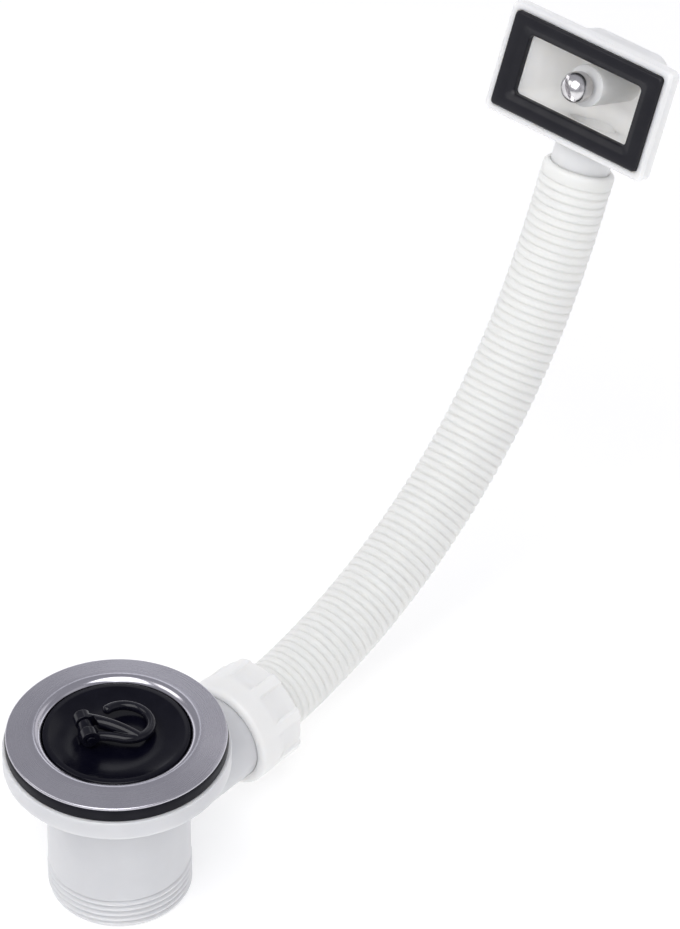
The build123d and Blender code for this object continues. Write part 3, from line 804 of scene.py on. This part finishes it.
ring_along = np.linspace(ring_from, ring_to, rings * ring_steps + 1)
plain_along = np.concatenate([[0.0, 0.4], np.linspace(2.0, ring_from - 0.4, 12)])
cuff_along = [243.0, 244.5, 245.8, 246.3, 246.8, 247.2, 247.571]
hose_along = np.concatenate([plain_along, ring_along, cuff_along])
ring_phase = (hose_along - ring_from) / (ring_to - ring_from) * rings
ringed = (hose_along >= ring_from) & (hose_along <= ring_to)
slope = np.minimum(ring_steep * (1 - np.abs(2 * (ring_phase % 1.0) - 1)), 1.0)
crest = np.where(ringed, 0.5 * (1 - np.cos(np.pi * slope)), 1.0)
hose_radius = hose_r - ring_depth * (1 - crest)
hose_radius[0] -= 0.4
hose_radius[-4:] -= (0.08, 0.35, 0.75, 1.7)
hose_bend = np.linspace(0.0, 2 * np.pi, 73)
bore_along = np.linspace(0.0, hose_knots[-1], 90)
outside = hose_skin(hose_along, hose_radius, hose_bend)
inside = hose_skin(bore_along, hose_bore + bore_play + 0 * bore_along, hose_bend)
hose_ends = [np.stack([outside[0], inside[0]]), np.stack([outside[-1], inside[-1]])]
groove = np.repeat((1 - crest)[:, None], len(hose_bend), axis=1)
hose_marks = np.concatenate([groove.ravel(), np.zeros(inside[..., 0].size + 4 * len(hose_bend))])


def blown_polythene(name):
    """Blown polythene: waxy and translucent, a little duller down in each groove, where painted shade also
    greys its colour a little.
    """
    finish, shader, place = new_finish(
        name,
        Subsurface_Weight=1.0,
        Subsurface_Radius=(1.0, 0.97, 0.92),
        Subsurface_Scale=5.0 * mm,
        Specular_IOR_Level=0.3,
    )
    depth = place.node("ShaderNodeAttribute", {"attribute_name": "groove"}, {}, 2)
    flow = place.cloud(55.0, 4.0)
    wax = place.cloud(700.0, 3.0)
    # Painted shade: the colour greys slightly with each groove's depth, mixed with random flow marks.
    groove_shade_and_flow = (0.75 * depth + 0.25 * flow).between(0.05, 0.95)
    feed(
        shader,
        Base_Color=groove_shade_and_flow.blend((0.885, 0.88, 0.82), (0.88, 0.875, 0.815)),
        Roughness=0.44 + 0.08 * depth + 0.10 * flow,
        Normal=(wax + 0.5 * flow).relief(0.25, 0.05),
    )
    return finish


make_piece(
    "overflow_hose_blown",
    [outside, inside, *hose_ends],
    "overflow_hose",
    blown_polythene("hose polythene"),
    crease=60,
    marks={"groove": hose_marks},
)

# Overflow body: one white moulding. A plate with a recess for the gasket faces the bath's wall, and
# a chamber behind its window turns the water down into the spigot. A boss takes the face screw.
head_white = moulded_white("overflow head white", (0.83, 0.828, 0.815), (0.87, 0.868, 0.855), 0.24, 1.0, 6.0)
dress("overflow_body", head_white)
dress("overflow_insert", insert_brass)

# Overflow gasket: a black rubber frame in the plate's recess, proud of it so that it meets the bath.
# Its face falls away towards the window, and every edge is rounded.
head_face = np.array([228.049, 0.0, 134.444])
head_across = np.array([0.0, -1.0, 0.0])
head_up = np.array([0.382683, 0.0, 0.923880])
head_out = np.cross(head_across, head_up)


def outline(width, height, corner, steps=6):
    """A rounded rectangle: four quarter circles joined by its straight sides, closed on itself."""
    quarter = np.linspace(0.0, np.pi / 2, steps + 1)
    turn = np.concatenate([quarter + quarters * np.pi / 2 for quarters in range(4)] + [[0.0]])
    right = np.repeat([1, -1, -1, 1, 1], [steps + 1] * 4 + [1])
    top = np.repeat([1, 1, -1, -1, 1], [steps + 1] * 4 + [1])
    x = right * (width / 2 - corner) + corner * np.cos(turn)
    return np.stack([x, top * (height / 2 - corner) + corner * np.sin(turn)], axis=-1)


def stacked(frames):
    """Rings stacked along the head's axis: each is a width, a height, a corner radius and a distance out of
    the head's face."""
    flat = np.stack([outline(*ring[:3]) for ring in frames])
    level = np.array([ring[3] for ring in frames])[:, None, None]
    place = head_face + flat[..., :1] * head_across + flat[..., 1:] * head_up
    return place + level * head_out


gasket_rings = [
    (62.0, 33.8, 1.5, -3.6),
    (62.0, 33.8, 1.5, -0.7),
    (61.7, 33.5, 1.4, -0.35),
    (61.2, 33.0, 1.4, -0.12),
    (60.4, 32.2, 1.3, 0.0),
    (53.6, 26.5, 1.6, 0.0),
    (52.8, 25.8, 1.7, -0.06),
    (51.6, 24.8, 1.8, -0.35),
    (49.0, 22.55, 1.8, -0.95),
    (48.0, 21.7, 1.7, -1.25),
    (47.6, 21.4, 1.7, -1.5),
    (47.4, 21.2, 1.6, -2.0),
    (47.4, 21.2, 1.6, -3.6),
    (62.0, 33.8, 1.5, -3.6),
]
gasket_black = black_rubber("gasket rubber", (0.005, 0.005, 0.009), (0.010, 0.010, 0.014), 0.36, 0.34)
make_piece(
    "overflow_gasket_frame",
    [stacked(gasket_rings)],
    "overflow_gasket",
    gasket_black,
    crease=28,
)

# Overflow screw: a plated machine screw with a tall domed head and a wide slot. It is part driven
# into the boss, ready for a face plate to be hung on it from inside the bath.
screw_rise, screw_sunk = 1.2, 2.7
screw_seat = head_face + screw_rise * head_up - screw_sunk * head_out
screw_turn = np.radians(123.0)
screw_across = np.cos(screw_turn) * head_across + np.sin(screw_turn) * head_up
screw_plating = bright_metal("face screw plating", (0.74, 0.73, 0.74), (0.60, 0.59, 0.60), 0.18)
make_piece(
    "overflow_screw_turned",
    set_up(slotted_screw(5.3, 7.6, 1.5, 2.8, 3.0, 18.0, 1.0), screw_seat, screw_across, head_out),
    "overflow_screw",
    screw_plating,
)

# Studio: a broad pale floor under the tail's end that glows a little, a large soft box overhead on
# the camera's side, weak ones beside and behind the part, and a grey surround that is bright along
# the horizon behind it.
floor_z, floor_half = -64.5 * mm, 4.0
floor_corners = [(x * floor_half, y * floor_half, floor_z) for x, y in [(-1, -1), (1, -1), (1, 1), (-1, 1)]]
floor_mesh = bpy.data.meshes.new("floor")
floor_mesh.from_pydata(floor_corners, [], [(0, 1, 2, 3)])
floor = bpy.data.objects.new("floor", floor_mesh)
bpy.context.collection.objects.link(floor)
floor_paint, floor_shader, floor_place = new_finish(
    "pale floor", Roughness=0.9, Emission_Color=(1.0, 1.0, 1.0, 1.0), Emission_Strength=0.46
)
floor_tone = floor_place.cloud(1.5, 2.0).between(0.2, 0.8)
feed(floor_shader, Base_Color=floor_tone.blend((0.64, 0.64, 0.64), (0.67, 0.67, 0.67)))
floor_mesh.materials.append(floor_paint)


def soft_box(name, place, target, size, power, colour):
    """A square area light at a place, in metres, that faces a target."""
    lamp = bpy.data.lights.new(name, "AREA")
    lamp.size, lamp.energy, lamp.color = size, power, colour
    holder = bpy.data.objects.new(name, lamp)
    bpy.context.collection.objects.link(holder)
    out = np.asarray(place, float) - np.asarray(target, float)
    out /= np.linalg.norm(out)
    flat = np.cross((0.0, 1.0, 0.0), out)
    flat /= np.linalg.norm(flat)
    pose = np.eye(4)
    pose[:3, :3] = np.stack([flat, np.cross(out, flat), out], axis=-1)
    pose[:3, 3] = place
    holder.matrix_world = Matrix(pose.tolist())


part_middle = (0.10, 0.0, 0.03)
soft_box("overhead box", (-0.70, -0.45, 1.35), part_middle, 1.4, 18.0, (1.0, 1.0, 1.0))
soft_box("left box", (-0.62, 0.80, 1.22), part_middle, 0.7, 3.0, (1.0, 0.985, 0.96))
soft_box("right box", (0.3, -1.4, 0.6), part_middle, 0.9, 0.5, (1.0, 0.99, 0.98))
soft_box("back box", (1.6, 0.1, 1.1), part_middle, 1.0, 1.6, (1.0, 0.98, 0.97))
soft_box("small back box", (1.12, 0.96, 1.06), part_middle, 0.4, 0.45, (0.96, 0.97, 1.0))
surround = bpy.data.worlds.new("studio surround")
surround.use_nodes = True
backdrop = surround.node_tree.nodes["Background"]
outward = surround.node_tree.nodes.new("ShaderNodeTexCoord")
outlook = Tone(surround.node_tree, outward.outputs["Generated"])
behind_part = (0.76, 0.65, 0.0)
rise_of_view = outlook.node("ShaderNodeSeparateXYZ", {}, {0: outlook}, 2)
ahead = outlook.node("ShaderNodeVectorMath", {"operation": "DOT_PRODUCT"}, {0: outlook, 1: behind_part}, 1)
glow = (1.0 - rise_of_view.between(0.03, 0.37)) * ahead.between(-0.2, 0.6)
feed(backdrop, Color=glow.blend((0.39, 0.39, 0.42), (1.5, 1.5, 1.55)))
bpy.context.scene.world = surround
bpy.context.scene.view_settings.view_transform = "Standard"
